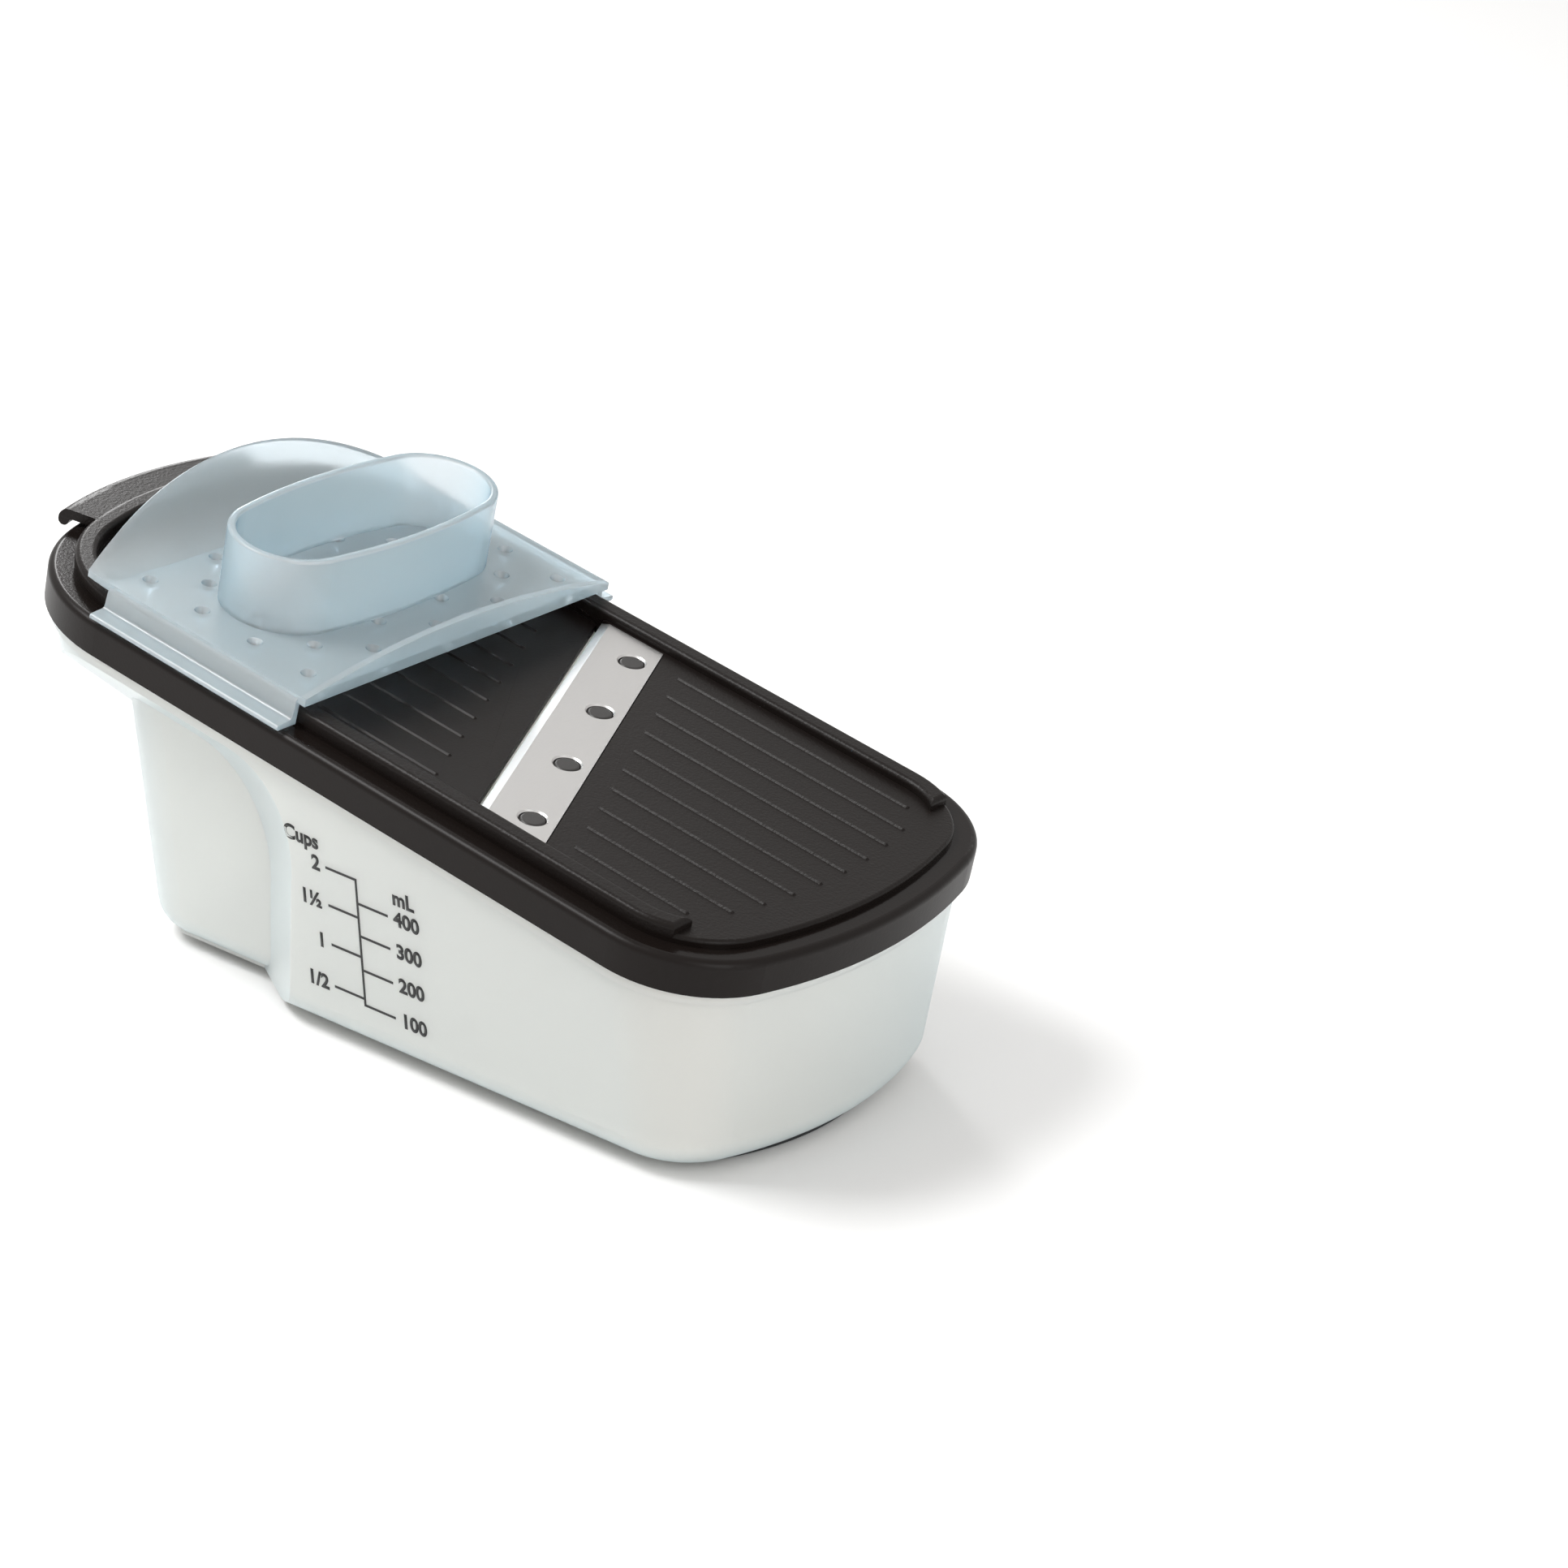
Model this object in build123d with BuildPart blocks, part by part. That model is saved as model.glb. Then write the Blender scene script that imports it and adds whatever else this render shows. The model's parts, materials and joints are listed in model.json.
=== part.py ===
"""Box mandoline slicer: catch container, feet, slicing plate, blade, rivets and food holder.

Row frame: millimetres, +Z up from the table, +X towards the low front end, +Y across.
The rim slopes down to the front, so the plate, blade and holder are drawn in the rim frame:
u runs down the slope to the front, v across (same as Y), w square to the rim.
"""
import os
from math import atan2, cos, hypot, pi, radians, sin, sqrt

from build123d import *

# ---------------------------------------------------------------- rim frame
TILT = 9.6                 # slope of the rim, degrees
RIM_Z = 57.3               # height of the rim datum, where u = 0
RIM_X = 18.85              # puts the middle of the overall length over the origin

slope = radians(TILT)
RIM = Plane(origin=(RIM_X, 0, RIM_Z), x_dir=(cos(slope), 0, -sin(slope)), z_dir=(sin(slope), 0, cos(slope)))
RIM_UP = Axis(RIM.origin, RIM.z_dir)

# ---------------------------------------------------------------- rim outline
HALF_WIDTH = 52.0
FRONT_END = (86.3, 125.0, 25.5)      # tip, end radius, corner radius
REAR_END = (124.0, 90.0, 36.0)

# ---------------------------------------------------------------- slicing plate
LEDGE = 7.9                # top of the ledge around the plate
SKIRT_WALL = 2.0
SKIRT_ROUND = 1.6
SLAB = 2.0                 # plate thickness
LEDGE_WIDTH = 5.3          # skirt face to the foot of the rails
RAIL_TOP = 11.7
RAIL_INNER = 10.0          # skirt face to the inner face of the rails
RAIL_END = 66.6
RAIL_ROUND = 1.2
INFEED = 7.5
OUTFEED = 9.6
RIDGE_PITCH = 7.96
RIDGE_COUNT = 10
RIDGE_RISE = 0.35
DECK_ROUND = 0.8
OUTFEED_RIDGE = (6.0, 14.3, 1.1)     # start after the blade, end before the skirt face, width
INFEED_RIDGE = (18.0, 13.0, 1.1)     # start after the skirt face, end before the blade, width
RIDGE_TAPER = 45.0         # slope of a ridge's sides
TAB_REACH = 8.6            # how far the lift tab stands out from the rail
TAB_ANGLE = 34.0           # arc that the tab covers, degrees
TAB_TOP = 11.3
TAB_UNDER = 9.1
TAB_OVERLAP = 1.5          # how far the tab's root runs into the rail
TAB_LIP = (3.0, 0.7, 1.3, 2.5, 2.9, 3.6)         # curled edge: distances in from the tip, top to bottom
TAB_DROP = (0.8, 2.8, 4.1, 3.0, 2.4)             # and heights below the top of the tab

# ---------------------------------------------------------------- blade
BLADE_EDGE_U = -6.7        # cutting edge at v = 0
BLADE_SKEW = -0.467        # the edge moves this far along u for each mm along v
BLADE_REACH = 17.5         # size along u
BLADE_HALF = 41.2
BLADE_TOP = 9.7
BLADE_THICK = 1.0
BEVEL = 2.2
SLOT_GAP = 1.6             # infeed end to cutting edge
SLOT_UNDER = 6.0           # how far the slot runs under the blade
SEAT_GAP = 0.25            # clearance round the blade in its seat
EDGE_LAND = 0.1            # blunt land of the cutting edge
HOLE_CHAMFER = 0.35
RIVET_V = (-34.9, -12.4, 10.0, 32.5)
RIVET_U = 11.9             # rivet line behind the cutting edge
HOLE_R = 2.9
RIVET_R = 2.72
SHANK_R = 1.9
RIVET_TOP = 9.55
RIVET_FOOT = 4.9
RIVET_ROUND = 0.6
RIVET_GAP = 0.05           # shank to plate
HEAD_GAP = 0.02            # rivet heads to the faces they hold
SHANK_OVERLAP = 0.5        # how far the shank runs into each head

# ---------------------------------------------------------------- food holder
HOLDER_REAR, HOLDER_FRONT = -87.2, -30.5
SIDE_REAR, SIDE_FRONT = -87.0, -32.5
FLOOR_TOP = 15.0
FLOOR_THICK = 1.7
GUARD_HEIGHT = 13.7
GUARD_LEAN = 12.3
GUARD_HALF = 47.5
GUARD_THICK = 1.6
GUARD_ROOT = 1.0           # the guard starts this far in from the rear edge of the floor
GUARD_FOOT = 0.4           # its height at the two ends
GUARD_BELLY = (0.62, 0.36) # middle of its curve: shares of the lean and of the height
ROOT_SINK = 0.08           # the guard starts this far inside the floor
LIP_HEIGHT = 5.0
LIP_HALF = 47.0
SIDE_WALL = 47.4           # half width at the side channels
CHANNEL_OUTER = ((-1.6, 0.0), (-0.2, -0.5), (0.6, -2.0))   # rounded shoulder, from SIDE_WALL and FLOOR_TOP
CHANNEL_FOOT = ((1.0, 0.8), (1.3, 0.2), (2.0, 0.0))        # hollow corner, from SIDE_WALL and FLANGE_TOP
CHANNEL_ROOT = 4.0         # the channel starts this far in from SIDE_WALL
CHANNEL_INNER = (0.35, 0.75)                               # inner face in from SIDE_WALL, bottom and top
FLANGE_NOSE = (0.7, 0.8)   # rounded edge of the flange, top and bottom
FLANGE_SLOPE = 0.2
FLANGE_EDGE = 52.6
FLANGE_TOP = 9.7
FLANGE_UNDER = 8.3
RING_U = -62.0
RING_TOP = 32.1
RING_OVAL = (15.8, 35.4, 14.0)     # half size along u, half size along v, end radius
RING_WALL = 1.8
RING_ROUND = 0.6
PIN_PITCH = 7.68           # between rows
PIN_SPACING = 19.4         # along a row
PIN_ROWS = 7
PIN_FIRST = -38.0
PIN_TIP = 10.35
PIN_R = (0.4, 2.3)         # radius at the tip and at the floor
DIMPLE = 2.4               # depth of the hollow in the back of a pin
DIMPLE_R = (0.15, 1.7)     # its radius at the bottom and at the mouth

# ---------------------------------------------------------------- container
WALL = 1.8
COLLAR_INSET = 2.4         # skirt face to collar face
COLLAR_TOP = 5.5
FOOT_HEIGHT = 1.8          # container bottom above the table
FOOT_SUNK = 0.6            # depth of the groove that holds a foot
FRONT_FOOT = (74.5 + RIM_X, 60.0, 9.0, 29.0)     # tip, outer radius, width, half angle
REAR_FOOT = (86.5 - RIM_X, 60.0, 9.0, 18.0)
BASE_HALF = 42.6
BASE_FRONT = (79.6 + RIM_X, 85.0, 18.0)
BASE_REAR = (110.0 - RIM_X, 85.0, 30.0)
BASE_ROUND = 7.0
BEAD_LOW = -2.8            # bead round the container just under the plate's skirt
BEAD_HEIGHT = 2.3
BEAD_PROUD = 1.0
HEEL_HALF = 33.0           # narrow heel between the grip recesses
HEEL_REAR = (95.0 - RIM_X, 70.0, 16.0)
HEEL_FRONT = (20.0 + RIM_X, 70.0, 16.0)
HEEL_TOP = 75.0
HEEL_DRAFT = 7.0
HEEL_BACK = -80.0 + RIM_X
# the arch of each grip recess at two depths: centre x, centre z, radius
GRIP_INNER_Y, GRIP_OUTER_Y = 30.0, 56.0
GRIP_INNER = (-88.0 + RIM_X, 18.7, 31.5)
GRIP_OUTER = (-39.5 + RIM_X, 43.5, 22.0)
GRIP_MID = radians(50)
GRIP_SPLAY = 4.0           # the front leg of the arch runs this far forward going down
GRIP_REAR_Z = 37.0
CUT = 20.0                 # how far the cutting shapes run past the container
FOOT_CHAMFER = 0.4


def end_points(half_width, tip, end_r, corner_r):
    """Start, middle and finish of the corner arc of a bowed end that points along +x."""
    centre = tip - end_r
    corner_y = half_width - corner_r
    corner_x = centre + sqrt((end_r - corner_r) ** 2 - corner_y ** 2)
    turn = atan2(corner_y, corner_x - centre)
    middle = (turn + pi / 2) / 2
    return [
        (corner_x, half_width),
        (corner_x + corner_r * cos(middle), corner_y + corner_r * sin(middle)),
        (centre + end_r * cos(turn), end_r * sin(turn)),
    ]


def bowed_area(half_width, front, rear):
    """Area with straight sides and two bowed ends, each given as tip, end radius, corner radius."""
    ahead = end_points(half_width, *front)
    behind = [(-x, y) for x, y in end_points(half_width, *rear)]
    with BuildSketch() as area:
        with BuildLine():
            Line(behind[0], ahead[0])
            ThreePointArc(*ahead)
            ThreePointArc(ahead[2], (front[0], 0), (ahead[2][0], -ahead[2][1]))
            ThreePointArc(*[(x, -y) for x, y in reversed(ahead)])
            Line((ahead[0][0], -half_width), (behind[0][0], -half_width))
            ThreePointArc(*[(x, -y) for x, y in behind])
            ThreePointArc((behind[2][0], -behind[2][1]), (-rear[0], 0), behind[2])
            ThreePointArc(*reversed(behind))
        make_face()
    return area.sketch


def oval_area(half_width, tip, end_r):
    """Area with bowed long sides and round ends at tip and -tip along y, each arc tangent to the next."""
    centre = tip - end_r
    side_r = (half_width ** 2 + centre ** 2 - end_r ** 2) / (2 * (half_width - end_r))
    turn = atan2(centre, side_r - half_width)
    x, y = end_r * cos(turn), centre + end_r * sin(turn)
    with BuildSketch() as area:
        with BuildLine():
            ThreePointArc((x, -y), (half_width, 0), (x, y))
            ThreePointArc((x, y), (0, tip), (-x, y))
            ThreePointArc((-x, y), (-half_width, 0), (-x, -y))
            ThreePointArc((-x, -y), (0, -tip), (x, -y))
        make_face()
    return area.sketch


def rim_area(inset):
    """Area inside the rim outline moved in by inset, in u and v."""
    front = [size - inset for size in FRONT_END]
    rear = [size - inset for size in REAR_END]
    return bowed_area(HALF_WIDTH - inset, front, rear)


def front_edge(v, inset):
    """u of the front rim outline, moved in by inset, at v."""
    tip, end_r, corner_r = [size - inset for size in FRONT_END]
    start, _, finish = end_points(HALF_WIDTH - inset, tip, end_r, corner_r)
    if abs(v) <= finish[1]:
        return tip - end_r + sqrt(end_r ** 2 - v ** 2)
    return start[0] + sqrt(corner_r ** 2 - (abs(v) - HALF_WIDTH + inset + corner_r) ** 2)


def edge_u(v):
    """u of the cutting edge at v."""
    return BLADE_EDGE_U + BLADE_SKEW * v


def skewed(start, stop, half):
    """Corners of a band along the cutting edge, from start to stop behind it."""
    return [
        (edge_u(-half) + start, -half),
        (edge_u(-half) + stop, -half),
        (edge_u(half) + stop, half),
        (edge_u(half) + start, half),
    ]


# lift tab section, drawn at one end of its arc: r outwards from the arc's centre, w square to the rim
tab_centre = RIM.origin + RIM.x_dir * (REAR_END[1] - REAR_END[0])
tab_turn = radians(TAB_ANGLE / 2)
tab_out = RIM.x_dir * -cos(tab_turn) + RIM.y_dir * -sin(tab_turn)
TAB_PLANE = Plane(origin=tab_centre, x_dir=tab_out, z_dir=tab_out.cross(RIM.z_dir))
TAB_AXIS = Axis(tab_centre, -RIM.z_dir)
TAB_ROOT = REAR_END[1] - LEDGE_WIDTH - TAB_OVERLAP
TAB_TIP = REAR_END[1] - LEDGE_WIDTH + TAB_REACH
tab_crown = (TAB_TIP - TAB_LIP[0], TAB_TOP)
tab_nose = (TAB_TIP - TAB_LIP[1], TAB_TOP - TAB_DROP[0])
tab_edge = (TAB_TIP, TAB_TOP - TAB_DROP[1])
tab_bulb = (TAB_TIP - TAB_LIP[2], TAB_TOP - TAB_DROP[2])
tab_hook = (TAB_TIP - TAB_LIP[3], TAB_TOP - TAB_DROP[3])
tab_throat = (TAB_TIP - TAB_LIP[4], TAB_TOP - TAB_DROP[4])
tab_curl = (TAB_TIP - TAB_LIP[5], TAB_UNDER)

ring_inner = [size - RING_WALL for size in RING_OVAL]
rivet_points = [(edge_u(v) + RIVET_U, v) for v in RIVET_V]
ridge_lines = [(number - (RIDGE_COUNT - 1) / 2) * RIDGE_PITCH for number in range(RIDGE_COUNT)]
os.makedirs("parts", exist_ok=True)

# ---------------------------------------------------------------- slicing plate
with BuildPart() as slicer_plate:
    # lid slab with a skirt that drops over the container's collar
    with BuildSketch(RIM):
        add(rim_area(0))
    extrude(amount=LEDGE)
    fillet(slicer_plate.faces().group_by(RIM_UP)[-1].edges(), radius=SKIRT_ROUND)
    with BuildSketch(RIM):
        add(rim_area(SKIRT_WALL))
    extrude(amount=LEDGE - SLAB, mode=Mode.SUBTRACT)

    # outfeed deck in front of the cutting edge, hollow below
    with BuildSketch(RIM.offset(LEDGE - SLAB)):
        add(rim_area(LEDGE_WIDTH))
        Polygon(*skewed(0, 2 * FRONT_END[0], HALF_WIDTH), align=None, mode=Mode.INTERSECT)
    extrude(amount=OUTFEED - LEDGE + SLAB)
    fillet(slicer_plate.faces().group_by(RIM_UP)[-1].edges().group_by(SortBy.LENGTH)[1:], radius=DECK_ROUND)
    with BuildSketch(RIM):
        add(rim_area(LEDGE_WIDTH + SLAB))
        Polygon(*skewed(BLADE_REACH + SLAB, 2 * FRONT_END[0], HALF_WIDTH), align=None, mode=Mode.INTERSECT)
    extrude(amount=OUTFEED - SLAB, mode=Mode.SUBTRACT)

    # rails, joined round the rear
    with BuildSketch(RIM.offset(LEDGE - SLAB)):
        add(rim_area(LEDGE_WIDTH))
        add(rim_area(RAIL_INNER), mode=Mode.SUBTRACT)
        with Locations((RAIL_END - REAR_END[0], 0)):
            Rectangle(2 * REAR_END[0], 2 * HALF_WIDTH, mode=Mode.INTERSECT)
    extrude(amount=RAIL_TOP - LEDGE + SLAB)
    fillet(slicer_plate.faces().group_by(RIM_UP)[-1].edges(), radius=RAIL_ROUND)

    # infeed floor, a little below the ledge
    with BuildSketch(RIM.offset(LEDGE)):
        add(rim_area(RAIL_INNER))
        Polygon(*skewed(-2 * REAR_END[0], 0, HALF_WIDTH), align=None, mode=Mode.INTERSECT)
    extrude(amount=INFEED - LEDGE, mode=Mode.SUBTRACT)

    # blade seat, slot for the slices and rivet holes
    with BuildSketch(RIM.offset(BLADE_TOP - BLADE_THICK)):
        Polygon(*skewed(-SLOT_GAP, BLADE_REACH + SEAT_GAP, BLADE_HALF + SEAT_GAP), align=None)
    extrude(amount=RAIL_TOP, mode=Mode.SUBTRACT)
    with BuildSketch(RIM):
        Polygon(*skewed(-SLOT_GAP, SLOT_UNDER, BLADE_HALF + SEAT_GAP), align=None)
    extrude(amount=RAIL_TOP, mode=Mode.SUBTRACT)
    with BuildSketch(RIM):
        with Locations(*rivet_points):
            Circle(SHANK_R + RIVET_GAP)
    extrude(amount=RAIL_TOP, mode=Mode.SUBTRACT)

    # guide ridges on the outfeed and the infeed
    with BuildSketch(RIM.offset(OUTFEED)):
        for v in ridge_lines:
            start = edge_u(v) + BLADE_REACH + OUTFEED_RIDGE[0]
            finish = front_edge(v, OUTFEED_RIDGE[1])
            with Locations(((start + finish) / 2, v)):
                SlotOverall(finish - start, OUTFEED_RIDGE[2])
    extrude(amount=RIDGE_RISE, taper=RIDGE_TAPER)
    with BuildSketch(RIM.offset(INFEED)):
        for v in ridge_lines:
            start = INFEED_RIDGE[0] - REAR_END[0]
            finish = edge_u(v) - INFEED_RIDGE[1]
            with Locations(((start + finish) / 2, v)):
                SlotOverall(finish - start, INFEED_RIDGE[2])
    extrude(amount=RIDGE_RISE, taper=RIDGE_TAPER)

    # lift tab: a lip with a curled edge, concentric with the rear end
    with BuildSketch(TAB_PLANE):
        with BuildLine():
            Polyline(tab_curl, (TAB_ROOT, TAB_UNDER), (TAB_ROOT, TAB_TOP), tab_crown)
            ThreePointArc(tab_crown, tab_nose, tab_edge)
            ThreePointArc(tab_edge, tab_bulb, tab_hook)
            ThreePointArc(tab_hook, tab_throat, tab_curl)
        make_face()
    revolve(axis=TAB_AXIS, revolution_arc=TAB_ANGLE)
slicer_plate.part.label = "slicer_plate"
export_step(slicer_plate.part, "parts/slicer_plate.step")

# ---------------------------------------------------------------- blade
edge_line = RIM.y_dir + RIM.x_dir * BLADE_SKEW
blade_end = Plane(
    origin=RIM.origin + RIM.y_dir * -BLADE_HALF + RIM.x_dir * edge_u(-BLADE_HALF),
    x_dir=RIM.x_dir,
    z_dir=-RIM.y_dir,
)
with BuildPart() as blade:
    with BuildSketch(blade_end):
        with BuildLine():
            Polyline(
                (0, BLADE_TOP - BLADE_THICK),
                (0, BLADE_TOP - BLADE_THICK + EDGE_LAND),
                (BEVEL, BLADE_TOP),
                (BLADE_REACH, BLADE_TOP),
                (BLADE_REACH, BLADE_TOP - BLADE_THICK),
                close=True,
            )
        make_face()
    extrude(amount=2 * BLADE_HALF * edge_line.length, dir=edge_line)
    with BuildSketch(RIM.offset(BLADE_TOP - BLADE_THICK)):
        with Locations(*rivet_points):
            Circle(HOLE_R)
    extrude(amount=BLADE_THICK, mode=Mode.SUBTRACT)
    rims = blade.edges().filter_by(GeomType.CIRCLE).group_by(RIM_UP)[-1]
    chamfer(rims, length=HOLE_CHAMFER)
blade.part.label = "blade"
export_step(blade.part, "parts/blade.step")

# ---------------------------------------------------------------- blade rivets
rivet_steps = (
    (RIVET_R, RIVET_FOOT, LEDGE - SLAB - HEAD_GAP),
    (SHANK_R, LEDGE - SLAB - SHANK_OVERLAP, BLADE_TOP - BLADE_THICK + SHANK_OVERLAP),
    (RIVET_R, BLADE_TOP - BLADE_THICK + HEAD_GAP, RIVET_TOP),
)
with BuildPart() as blade_rivets:
    for radius, low, high in rivet_steps:
        with BuildSketch(RIM.offset(low)):
            with Locations(*rivet_points):
                Circle(radius)
        extrude(amount=high - low)
    fillet(blade_rivets.edges().filter_by(GeomType.CIRCLE).group_by(RIM_UP)[-1], radius=RIVET_ROUND)
blade_rivets.part.label = "blade_rivets"
export_step(blade_rivets.part, "parts/blade_rivets.step")

# ---------------------------------------------------------------- food holder
pins = []
for row in range(PIN_ROWS):
    count = 5 - row % 2
    for place in range(count):
        pins.append((PIN_FIRST - row * PIN_PITCH, (place - (count - 1) / 2) * PIN_SPACING))


def guard_section(v):
    """Section of the flared rear guard at v, in the plane square to v."""
    height = GUARD_HEIGHT * (1 - (v / GUARD_HALF) ** 2) + GUARD_FOOT
    lean = GUARD_LEAN * (0.5 + 0.5 * height / GUARD_HEIGHT)
    length = hypot(lean, height)
    shift_u = GUARD_THICK * height / length
    shift_w = GUARD_THICK * lean / length
    with BuildSketch(Plane(origin=RIM.origin + RIM.y_dir * v, x_dir=RIM.x_dir, z_dir=-RIM.y_dir)) as section:
        with BuildLine():
            root = (HOLDER_REAR + GUARD_ROOT, FLOOR_TOP - ROOT_SINK)
            belly = (HOLDER_REAR - GUARD_BELLY[0] * lean, FLOOR_TOP + GUARD_BELLY[1] * height)
            crest = (HOLDER_REAR - lean, FLOOR_TOP + height)
            outer_root = (root[0], FLOOR_TOP - FLOOR_THICK + ROOT_SINK)
            outer_belly = (belly[0] - shift_u * 0.6, belly[1] - GUARD_THICK)
            outer_crest = (crest[0] - shift_u, crest[1] - shift_w)
            ThreePointArc(root, belly, crest)
            Line(crest, outer_crest)
            ThreePointArc(outer_crest, outer_belly, outer_root)
            Line(outer_root, root)
        make_face()
    return section.sketch


with BuildPart() as food_holder:
    # floor
    with BuildSketch(RIM.offset(FLOOR_TOP - FLOOR_THICK)):
        with Locations(((HOLDER_REAR + HOLDER_FRONT) / 2, 0)):
            Rectangle(HOLDER_FRONT - HOLDER_REAR, 2 * SIDE_WALL)
    extrude(amount=FLOOR_THICK)

    # side channels that run over the rails, with a flange just above the ledge
    shoulder = [(SIDE_WALL + v, FLOOR_TOP + w) for v, w in CHANNEL_OUTER]
    hollow = [(SIDE_WALL + v, FLANGE_TOP + w) for v, w in CHANNEL_FOOT]
    flange_edge = (FLANGE_EDGE, (FLANGE_TOP + FLANGE_UNDER) / 2)
    flange_top = (FLANGE_EDGE - FLANGE_NOSE[0], FLANGE_TOP - FLANGE_SLOPE)
    flange_under = (FLANGE_EDGE - FLANGE_NOSE[1], FLANGE_UNDER)
    with BuildSketch(Plane(origin=RIM.origin + RIM.x_dir * SIDE_REAR, x_dir=RIM.y_dir, z_dir=RIM.x_dir)):
        with BuildLine():
            Line((SIDE_WALL - CHANNEL_ROOT, FLOOR_TOP), shoulder[0])
            ThreePointArc(*shoulder)
            Line(shoulder[2], hollow[0])
            ThreePointArc(*hollow)
            Line(hollow[2], flange_top)
            ThreePointArc(flange_top, flange_edge, flange_under)
            Polyline(
                flange_under,
                (SIDE_WALL - CHANNEL_INNER[0], FLANGE_UNDER),
                (SIDE_WALL - CHANNEL_INNER[1], FLOOR_TOP - FLOOR_THICK),
                (SIDE_WALL - CHANNEL_ROOT, FLOOR_TOP - FLOOR_THICK),
                (SIDE_WALL - CHANNEL_ROOT, FLOOR_TOP),
            )
        make_face()
        mirror(about=Plane.YZ)
    extrude(amount=SIDE_FRONT - SIDE_REAR)

    # rear guard, flared up and back
    loft([guard_section(GUARD_HALF * step / 5) for step in range(-5, 6)])

    # front lip, an arched crest along the front edge
    with BuildSketch(Plane(origin=RIM.origin + RIM.x_dir * HOLDER_FRONT, x_dir=RIM.y_dir, z_dir=RIM.x_dir)):
        with BuildLine():
            Polyline(
                (LIP_HALF, FLOOR_TOP),
                (LIP_HALF, FLOOR_TOP - FLOOR_THICK),
                (-LIP_HALF, FLOOR_TOP - FLOOR_THICK),
                (-LIP_HALF, FLOOR_TOP),
            )
            ThreePointArc((-LIP_HALF, FLOOR_TOP), (0, FLOOR_TOP + LIP_HEIGHT), (LIP_HALF, FLOOR_TOP))
        make_face()
    extrude(amount=-GUARD_THICK)

    # grip ring
    with BuildSketch(RIM.offset(FLOOR_TOP)):
        with Locations((RING_U, 0)):
            add(oval_area(*RING_OVAL))
    extrude(amount=RING_TOP - FLOOR_TOP)
    with BuildSketch(RIM.offset(FLOOR_TOP)):
        with Locations((RING_U, 0)):
            add(oval_area(*ring_inner))
    extrude(amount=RING_TOP, mode=Mode.SUBTRACT)
    fillet(food_holder.faces().group_by(RIM_UP)[-1].edges(), radius=RING_ROUND)

    # food pins under the floor, hollow from above
    with Locations(RIM):
        with Locations(*[(u, v, (FLOOR_TOP - FLOOR_THICK + PIN_TIP) / 2) for u, v in pins]):
            Cone(*PIN_R, FLOOR_TOP - FLOOR_THICK - PIN_TIP)
        with Locations(*[(u, v, FLOOR_TOP - DIMPLE / 2 + 0.01) for u, v in pins]):
            Cone(*DIMPLE_R, DIMPLE, mode=Mode.SUBTRACT)
food_holder.part.label = "food_holder"
export_step(food_holder.part, "parts/food_holder.step")


# ---------------------------------------------------------------- container
def grip_tool(inset):
    """What the grip recesses take out of the container, beside and behind its heel."""
    with BuildPart() as tool:
        for side in (-1, 1):
            for reach in (0, 1):
                y = GRIP_INNER_Y + reach * (GRIP_OUTER_Y - GRIP_INNER_Y)
                x, z, radius = [a + reach * (b - a) for a, b in zip(GRIP_INNER, GRIP_OUTER)]
                radius += inset
                crown = (x + radius * sin(slope), z + radius * cos(slope))
                shoulder = (x + radius * cos(GRIP_MID), z + radius * sin(GRIP_MID))
                far = (crown[0] - 6 * CUT * cos(slope), crown[1] + 6 * CUT * sin(slope))
                with BuildSketch(Plane(origin=(0, side * y, 0), x_dir=(1, 0, 0), z_dir=(0, -1, 0))):
                    with BuildLine():
                        Line((x + radius + GRIP_SPLAY, -CUT), (x + radius, z))
                        ThreePointArc((x + radius, z), shoulder, crown)
                        Polyline(crown, far, (far[0], -CUT), (x + radius + GRIP_SPLAY, -CUT))
                    make_face()
            loft(ruled=True)
        # under the rear end
        with BuildSketch(Plane(origin=(0, -2 * HALF_WIDTH, 0), x_dir=(1, 0, 0), z_dir=(0, -1, 0))):
            Polygon(
                (HEEL_BACK, -CUT),
                (HEEL_BACK, GRIP_REAR_Z + inset),
                (HEEL_BACK - 2 * CUT, GRIP_REAR_Z + 2 * CUT + inset),
                (HEEL_BACK - 3 * CUT, -CUT),
                align=None,
            )
        extrude(amount=-4 * HALF_WIDTH)
        add(heel_body(-inset), mode=Mode.SUBTRACT)
    return tool.part


def heel_body(grow):
    """Narrow rear foot of the container between the grip recesses, drafted outwards going up."""
    rear = (HEEL_REAR[0] + grow, HEEL_REAR[1] + grow, HEEL_REAR[2] + grow)
    with BuildPart() as heel:
        with BuildSketch(Plane.XY.offset(FOOT_HEIGHT - grow)):
            add(bowed_area(HEEL_HALF + grow, HEEL_FRONT, rear))
        extrude(amount=HEEL_TOP, taper=-HEEL_DRAFT)
        fillet(heel.faces().sort_by(Axis.Z)[0].edges(), radius=BASE_ROUND)
    return heel.part


def container_body(inset):
    """Container filled solid, with every face moved in by inset."""
    with BuildPart() as body:
        with BuildSketch(RIM.offset(BEAD_LOW)):
            add(rim_area(COLLAR_INSET + inset))
        with BuildSketch(Plane.XY.offset(FOOT_HEIGHT + inset)):
            front = [size - inset for size in BASE_FRONT]
            rear = [size - inset for size in BASE_REAR]
            add(bowed_area(BASE_HALF - inset, front, rear))
        loft(ruled=True)
        fillet(body.faces().sort_by(Axis.Z)[0].edges(), radius=BASE_ROUND)
        add(grip_tool(inset), mode=Mode.SUBTRACT)
        with BuildSketch(RIM.offset(BEAD_LOW)):
            add(rim_area(COLLAR_INSET + inset))
        extrude(amount=COLLAR_TOP - BEAD_LOW + (1 if inset else 0))
    return body.part


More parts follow.
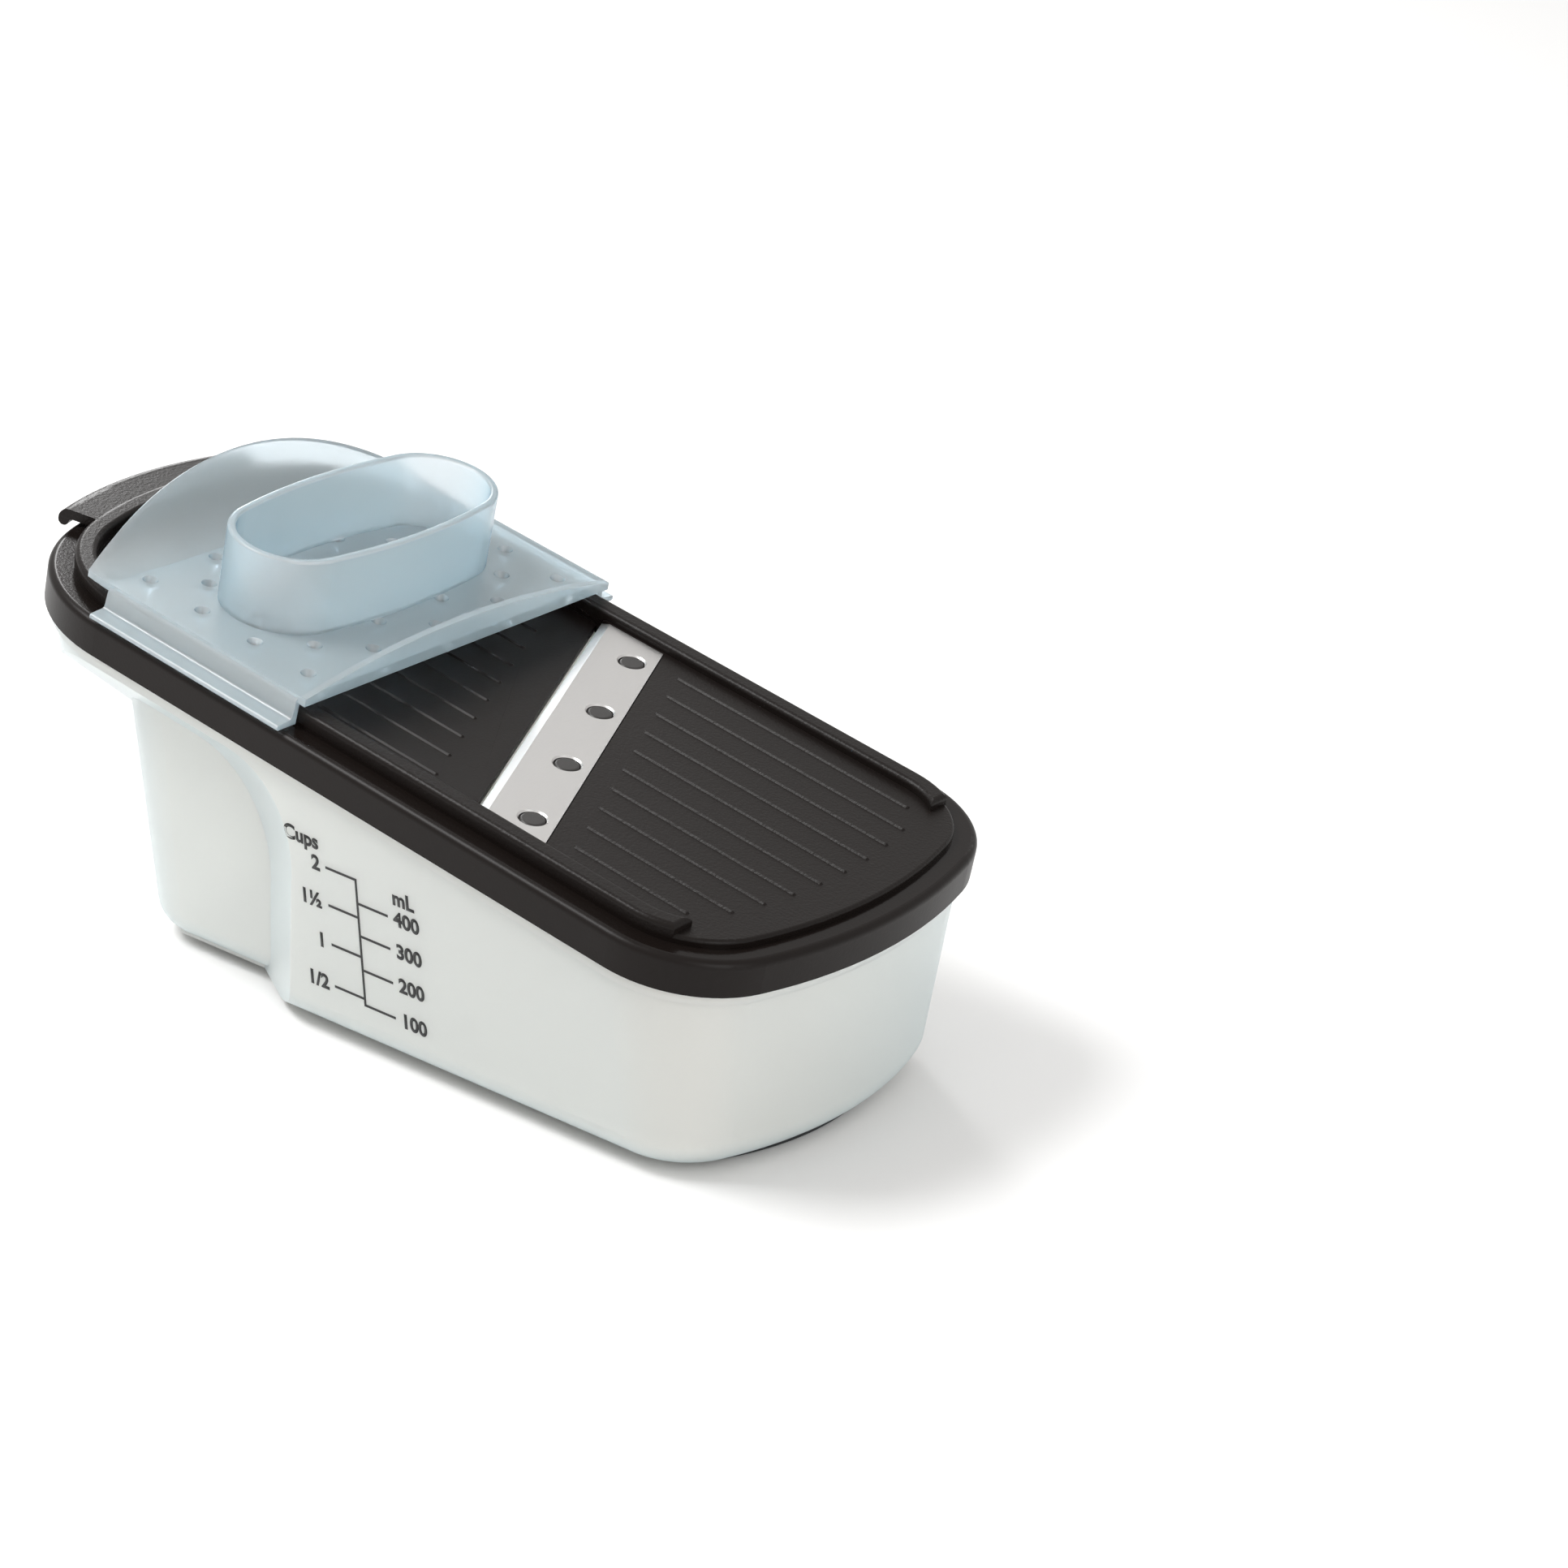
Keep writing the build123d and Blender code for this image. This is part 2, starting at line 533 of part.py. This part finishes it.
def foot_area(tip, end_r, width, half_angle):
    """Strip with rounded ends along a bowed end, centred on the x axis."""
    middle_r = end_r - width / 2
    with BuildSketch() as area:
        with Locations((tip - end_r, 0)):
            SlotArc(CenterArc((0, 0), middle_r, -half_angle, 2 * half_angle), width)
    return area.sketch


front_strip = foot_area(*FRONT_FOOT)
rear_strip = Rot(0, 0, 180) * foot_area(*REAR_FOOT)
feet = []
for strip in (front_strip, rear_strip):
    with BuildPart() as foot:
        with BuildSketch():
            add(strip)
        extrude(amount=FOOT_HEIGHT + FOOT_SUNK)
        chamfer(foot.faces().sort_by(Axis.Z)[0].edges(), length=FOOT_CHAMFER)
    feet.append(foot.part)
front_foot, rear_foot = feet

with BuildPart() as container:
    add(container_body(0))
    with BuildSketch(RIM.offset(BEAD_LOW)):
        add(rim_area(COLLAR_INSET - BEAD_PROUD))
    extrude(amount=BEAD_HEIGHT)
    add(container_body(WALL), mode=Mode.SUBTRACT)
    # shallow grooves that the feet are bonded into
    with BuildSketch(Plane.XY.offset(FOOT_HEIGHT)):
        add(front_strip)
        add(rear_strip)
    extrude(amount=FOOT_SUNK, mode=Mode.SUBTRACT)
container.part.label = "container"
export_step(container.part, "parts/container.step")
front_foot.label = "front_foot"
export_step(front_foot, "parts/front_foot.step")
rear_foot.label = "rear_foot"
export_step(rear_foot, "parts/rear_foot.step")
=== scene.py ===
"""Looks, printed scale, light and camera for the box mandoline slicer."""
import json
from math import cos, radians, sin

import bpy
from mathutils import Matrix, Vector
from mathutils.bvhtree import BVHTree


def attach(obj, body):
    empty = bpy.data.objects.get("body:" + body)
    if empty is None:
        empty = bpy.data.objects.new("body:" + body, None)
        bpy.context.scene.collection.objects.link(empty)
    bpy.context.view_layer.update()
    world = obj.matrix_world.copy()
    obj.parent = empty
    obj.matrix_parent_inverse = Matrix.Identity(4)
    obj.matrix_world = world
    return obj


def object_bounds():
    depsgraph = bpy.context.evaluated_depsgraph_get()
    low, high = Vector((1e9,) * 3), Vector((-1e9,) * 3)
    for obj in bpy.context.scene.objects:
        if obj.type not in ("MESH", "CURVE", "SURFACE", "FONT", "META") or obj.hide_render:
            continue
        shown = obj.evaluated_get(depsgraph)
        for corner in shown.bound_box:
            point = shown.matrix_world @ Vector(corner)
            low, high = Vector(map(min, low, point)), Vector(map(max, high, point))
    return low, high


MM = 0.001

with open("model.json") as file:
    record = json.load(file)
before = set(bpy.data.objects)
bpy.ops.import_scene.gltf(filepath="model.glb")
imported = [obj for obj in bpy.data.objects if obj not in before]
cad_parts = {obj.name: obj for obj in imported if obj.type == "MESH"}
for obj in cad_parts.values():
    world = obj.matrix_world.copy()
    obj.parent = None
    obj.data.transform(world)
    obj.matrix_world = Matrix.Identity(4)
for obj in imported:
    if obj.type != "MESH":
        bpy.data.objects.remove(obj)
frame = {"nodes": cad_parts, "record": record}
cad_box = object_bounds()

# ---------------------------------------------------------------- rim frame, read from the lift joint
lift = next(joint for joint in frame["record"]["behaviour"]["joints"] if joint["name"] == "plate_lift")
rim_up = Vector(lift["axis"]).normalized()
rim_mount = next(mount for mount in frame["record"]["mounts"] if mount["name"] == "container_rim")
rim_datum = Vector(rim_mount["pos_m"])
LEDGE = 7.9 * MM           # height of the ledge, square to the rim
DECK_FROM = (0.5 * MM, 1.2 * MM)     # heights above the ledge over which the deck's grain comes in
INFEED_TO = (0.04 * MM, 0.02 * MM)   # depths below the ledge over which the satin finish ends

# ---------------------------------------------------------------- finishes
POLISHED, SATIN = 0.14, 0.36         # roughness of the plate's ledge, and of its deck and skirt
LOW_GRAIN = 0.25                     # grain off the deck, share of the deck's own
BLADE_GRAIN = (6, 0.6, 1)            # stretch of the noise that draws the blade's grain out across the plate

# ---------------------------------------------------------------- printed scale on the near wall
SCALE_X = 6.15 * MM        # upright line
INK_PROUD = 0.03 * MM
RAY_START = 50 * MM        # rays start this far outside the object's box
TICK = 8.5 * MM
TICK_GAP = 1.6 * MM        # end of a tick to its number
LINE_WIDTH = 0.6 * MM
NUMBER_SIZE = 4.7 * MM
BOLDER = 0.035             # outline of the characters moved out, share of their size
CUPS = (("2", 42.2), ("1\u00bd", 33.3), ("1", 24.0), ("1/2", 14.0))          # text and height in mm
MILLILITRES = (("400", 36.7), ("300", 29.0), ("200", 20.9), ("100", 12.5))
UNIT_HEIGHTS = (47.2, 41.6)          # of the words over the two columns, in mm

# ---------------------------------------------------------------- camera
LENS = 105.26              # millimetres on a 36 mm sensor
CAMERA_PLACE = Vector((579.75, -671.4, 435.0)) * MM
CAMERA_AZIMUTH = radians(36.81)
CAMERA_ELEVATION = radians(23.465)
CAMERA_ROLL = radians(3.441)

# ---------------------------------------------------------------- light and floor
FLOOR_REACH = 6                      # metres
FLOOR_GREY = 0.86
LIT_POINT = (0, 0, 0.05)             # what the softboxes face
DAYLIGHT_COLOUR = (1, 0.99, 0.975, 1)
DAYLIGHT_STRENGTH = 0.75


def add_object(name, data):
    """New object with this data, in the scene."""
    thing = bpy.data.objects.new(name, data)
    bpy.context.scene.collection.objects.link(thing)
    return thing


class Nodes:
    """Small helper that adds shader nodes to one material and links them."""

    def __init__(self, name):
        self.material = bpy.data.materials.new(name)
        self.material.use_nodes = True
        self.tree = self.material.node_tree
        self.shader = self.tree.nodes["Principled BSDF"]

    def set(self, **values):
        """Sets sockets of the shader: base_color means Base Color."""
        names = {socket.name.lower().replace(" ", "_"): socket for socket in self.shader.inputs}
        for key, value in values.items():
            names[key].default_value = value
        return self

    def add(self, kind, **settings):
        """Adds a shader node and sets its properties."""
        node = self.tree.nodes.new(kind)
        for key, value in settings.items():
            setattr(node, key, value)
        return node

    def link(self, output, target):
        """Links an output socket to an input socket."""
        self.tree.links.new(output, target)

    def place(self):
        """Object coordinates, the same as row coordinates at rest."""
        return self.add("ShaderNodeTexCoord").outputs["Object"]

    def noise(self, scale, detail=2.0, stretch=(1, 1, 1)):
        """Noise over the object's own coordinates, scale in cycles per metre."""
        mapping = self.add("ShaderNodeMapping")
        mapping.inputs["Scale"].default_value = stretch
        self.link(self.place(), mapping.inputs["Vector"])
        texture = self.add("ShaderNodeTexNoise")
        texture.inputs["Scale"].default_value = scale
        texture.inputs["Detail"].default_value = detail
        self.link(mapping.outputs["Vector"], texture.inputs["Vector"])
        return texture.outputs["Fac"]

    def height(self):
        """Height above the rim datum, square to the rim."""
        dot = self.add("ShaderNodeVectorMath", operation="DOT_PRODUCT")
        dot.inputs[1].default_value = rim_up
        self.link(self.place(), dot.inputs[0])
        return self.maths("SUBTRACT", dot.outputs["Value"], rim_datum.dot(rim_up))

    def maths(self, operation, first, second):
        """Maths node on two sockets or numbers."""
        node = self.add("ShaderNodeMath", operation=operation)
        for socket, value in zip(node.inputs, (first, second)):
            if isinstance(value, (int, float)):
                socket.default_value = value
            else:
                self.link(value, socket)
        return node.outputs["Value"]

    def ramp(self, value, low, high, start, finish):
        """Value from low to high mapped to start to finish, clamped."""
        node = self.add("ShaderNodeMapRange")
        for socket, number in zip(node.inputs[1:5], (low, high, start, finish)):
            socket.default_value = number
        self.link(value, node.inputs["Value"])
        return node.outputs["Result"]

    def bump(self, height, depth, strength):
        """Surface grain from a height socket."""
        node = self.add("ShaderNodeBump")
        node.inputs["Strength"].default_value = strength
        node.inputs["Distance"].default_value = depth
        self.link(height, node.inputs["Height"])
        self.link(node.outputs["Normal"], self.shader.inputs["Normal"])


def milky_plastic(name, face_colour, aslant_reflection_colour, clearness, roughness):
    """Translucent polypropylene: light passes through and spreads, and edges seen aslant get a painted cool
    reflection, a cooler colour mixed into the base colour.
    """
    plastic = Nodes(name).set(
        roughness=roughness,
        ior=1.42,
        transmission_weight=clearness,
        subsurface_weight=0.7,
        subsurface_radius=(1, 1, 1),
        subsurface_scale=2 * MM,
        coat_weight=0.15,
        coat_roughness=0.12,
    )
    # Painted reflection: the base colour turns from the face colour to the cooler aslant colour as the
    # surface turns away from the camera.
    facing = plastic.add("ShaderNodeLayerWeight")
    facing.inputs["Blend"].default_value = 0.35
    mix = plastic.add("ShaderNodeMix", data_type="RGBA")
    sockets = {socket.identifier: socket for socket in (*mix.inputs, *mix.outputs)}
    sockets["A_Color"].default_value = (*face_colour, 1)
    sockets["B_Color"].default_value = (*aslant_reflection_colour, 1)
    plastic.link(facing.outputs["Facing"], sockets["Factor_Float"])
    plastic.link(sockets["Result_Color"], plastic.shader.inputs["Base Color"])
    plastic.bump(plastic.noise(scale=1400), depth=0.02 * MM, strength=0.15)
    return plastic.material


def plate_plastic(name):
    """Black moulded plastic: polished ledge, fine sparkle on the deck and a satin skirt."""
    plastic = Nodes(name).set(base_color=(0.0085, 0.0062, 0.0054, 1), ior=1.5, specular_ior_level=0.16)
    height = plastic.height()
    raised = plastic.ramp(height, LEDGE + DECK_FROM[0], LEDGE + DECK_FROM[1], 0, 1)
    low = plastic.ramp(height, LEDGE - INFEED_TO[0], LEDGE - INFEED_TO[1], 1, 0)
    textured = plastic.maths("MAXIMUM", raised, low)
    plastic.link(plastic.ramp(textured, 0, 1, POLISHED, SATIN), plastic.shader.inputs["Roughness"])
    coarse = plastic.ramp(raised, 0, 1, LOW_GRAIN, 1)
    grain = plastic.maths("MULTIPLY", plastic.noise(scale=1500), coarse)
    plastic.bump(grain, depth=0.10 * MM, strength=0.7)
    return plastic.material


def steel(name):
    """Satin stainless steel with a fine grain."""
    metal = Nodes(name).set(base_color=(0.66, 0.65, 0.64, 1), metallic=1.0)
    grain = metal.noise(scale=900, detail=3.0, stretch=BLADE_GRAIN)
    roughness = metal.ramp(grain, low=0.3, high=0.7, start=0.30, finish=0.42)
    metal.link(roughness, metal.shader.inputs["Roughness"])
    metal.bump(grain, depth=0.01 * MM, strength=0.3)
    return metal.material


def plain(name, colour, roughness):
    """One colour, one roughness."""
    return Nodes(name).set(base_color=(*colour, 1), roughness=roughness).material


MATERIALS = {
    "container": milky_plastic(
        "container_plastic",
        face_colour=(0.95, 0.93, 0.87),
        # the aslant colour below is a painted cool reflection on edges seen aslant
        aslant_reflection_colour=(0.72, 0.88, 0.93),
        clearness=0.44,
        roughness=0.28,
    ),
    "food_holder": milky_plastic(
        "holder_plastic",
        face_colour=(0.90, 0.95, 0.98),
        # the aslant colour below is a painted cool reflection on edges seen aslant, deeper blue than the
        # holder's own tint
        aslant_reflection_colour=(0.52, 0.78, 0.95),
        clearness=0.73,
        roughness=0.22,
    ),
    "slicer_plate": plate_plastic("plate_plastic"),
    "blade": steel("blade_steel"),
    "blade_rivets": plain("rivet_plastic", colour=(0.022, 0.020, 0.019), roughness=0.38),
    "front_foot": plain("foot_rubber", colour=(0.012, 0.014, 0.016), roughness=0.6),
}
MATERIALS["rear_foot"] = MATERIALS["front_foot"]
INK = plain("scale_ink", colour=(0.008, 0.008, 0.008), roughness=0.45)

for node, material in MATERIALS.items():
    slots = frame["nodes"][node].data.materials
    slots.clear()
    slots.append(material)


# ---------------------------------------------------------------- printed scale
def wall_tree():
    """Search tree of the container, used to lay the print on its near wall."""
    mesh = frame["nodes"]["container"].data
    corners = [vertex.co for vertex in mesh.vertices]
    return BVHTree.FromPolygons(corners, [face.vertices for face in mesh.polygons])


def print_on_wall(name, mesh, tree):
    """Lays a flat mesh, x along and y up, on the container's near wall as a thin film of ink."""
    for vertex in mesh.vertices:
        start = Vector((vertex.co.x, cad_box[0][1] - RAY_START, vertex.co.y))
        place, _, _, _ = tree.ray_cast(start, Vector((0, 1, 0)))
        vertex.co = place - Vector((0, INK_PROUD, 0))
    mesh.materials.clear()
    mesh.materials.append(INK)
    film = add_object(name, mesh)
    thick = film.modifiers.new("thickness", "SOLIDIFY")
    thick.thickness = INK_PROUD
    thick.offset = -1
    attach(film, "container")


def words(text, x, z, align):
    """Mesh of a number or a unit, drawn flat, centred on z."""
    curve = bpy.data.curves.new("words", "FONT")
    curve.body = text
    curve.size = NUMBER_SIZE
    curve.align_x = align
    curve.align_y = "CENTER"
    curve.offset = BOLDER * NUMBER_SIZE
    source = add_object("words", curve)
    bpy.context.view_layer.update()
    drawn = source.evaluated_get(bpy.context.evaluated_depsgraph_get())
    mesh = bpy.data.meshes.new_from_object(drawn)
    bpy.data.objects.remove(source)
    mesh.transform(Matrix.Translation((x, z, 0)))
    return mesh


def strip(x0, z0, x1, z1):
    """Mesh of a printed line from one point to another."""
    run = Vector((x1 - x0, z1 - z0, 0))
    side = Vector((-run.y, run.x, 0)).normalized() * LINE_WIDTH / 2
    ends = [Vector((x0, z0, 0)), Vector((x1, z1, 0))]
    mesh = bpy.data.meshes.new("line")
    mesh.from_pydata([ends[0] - side, ends[1] - side, ends[1] + side, ends[0] + side], [], [(0, 1, 2, 3)])
    return mesh


def printed_scale():
    """Upright line, ticks, numbers and units of the two volume scales."""
    tree = wall_tree()
    top = CUPS[0][1] * MM
    bottom = MILLILITRES[-1][1] * MM
    drawings = {"scale_line": strip(SCALE_X, bottom - LINE_WIDTH / 2, SCALE_X, top + LINE_WIDTH / 2)}
    gap = TICK + TICK_GAP
    for text, z in CUPS:
        label = f"{z:.0f}mm"
        drawings[f"cup_tick_{label}"] = strip(SCALE_X, z * MM, SCALE_X - TICK, z * MM)
        drawings[f"cup_number_{label}"] = words(text, SCALE_X - gap, z * MM, "RIGHT")
    for text, z in MILLILITRES:
        drawings[f"millilitre_tick_{text}"] = strip(SCALE_X, z * MM, SCALE_X + TICK, z * MM)
        drawings[f"millilitre_number_{text}"] = words(text, SCALE_X + gap, z * MM, "LEFT")
    drawings["cup_unit"] = words("Cups", SCALE_X - gap, UNIT_HEIGHTS[0] * MM, "RIGHT")
    drawings["millilitre_unit"] = words("mL", SCALE_X + gap, UNIT_HEIGHTS[1] * MM, "LEFT")
    for name, mesh in drawings.items():
        print_on_wall(name, mesh, tree)


printed_scale()


# ---------------------------------------------------------------- studio
def floor():
    """Pale floor, wide enough to fill the view."""
    mesh = bpy.data.meshes.new("floor")
    corners = [(x * FLOOR_REACH, y * FLOOR_REACH, 0) for x, y in ((-1, -1), (1, -1), (1, 1), (-1, 1))]
    mesh.from_pydata(corners, [], [(0, 1, 2, 3)])
    mesh.materials.append(plain("floor_paint", colour=(FLOOR_GREY,) * 3, roughness=0.7))
    add_object("floor", mesh)


def softbox(name, place, size, power):
    """Area light at place that faces the lit point."""
    light = bpy.data.lights.new(name, "AREA")
    light.shape = "RECTANGLE"
    light.size, light.size_y = size
    light.energy = power
    lamp = add_object(name, light)
    lamp.location = place
    lamp.rotation_euler = (Vector(LIT_POINT) - Vector(place)).to_track_quat("-Z", "Y").to_euler()


def daylight():
    """Even pale light from all round."""
    world = bpy.data.worlds.new("studio")
    world.use_nodes = True
    background = world.node_tree.nodes["Background"]
    background.inputs["Color"].default_value = DAYLIGHT_COLOUR
    background.inputs["Strength"].default_value = DAYLIGHT_STRENGTH
    bpy.context.scene.world = world


def camera():
    """Camera at the viewing angle, with its small roll."""
    across = Vector((cos(CAMERA_AZIMUTH), sin(CAMERA_AZIMUTH), 0))
    back = Vector((
        sin(CAMERA_AZIMUTH) * cos(CAMERA_ELEVATION),
        -cos(CAMERA_AZIMUTH) * cos(CAMERA_ELEVATION),
        sin(CAMERA_ELEVATION),
    ))
    up = back.cross(across)
    turned = Matrix.Rotation(CAMERA_ROLL, 3, back)
    data = bpy.data.cameras.new("camera")
    data.lens = LENS
    eye = add_object("camera", data)
    columns = (turned @ across, turned @ up, back)
    eye.matrix_world = Matrix.Translation(CAMERA_PLACE) @ Matrix(columns).transposed().to_4x4()
    bpy.context.scene.camera = eye


floor()
daylight()
softbox("key", place=(-0.55, -0.45, 1.1), size=(0.5, 0.5), power=12)
softbox("front", place=(1.1, -0.35, 0.5), size=(0.5, 0.8), power=3.5)
softbox("rim", place=(-0.9, 0.75, 0.6), size=(0.2, 0.8), power=4)
camera()

view = bpy.context.scene.view_settings
view.view_transform = "Standard"
view.look = "None"
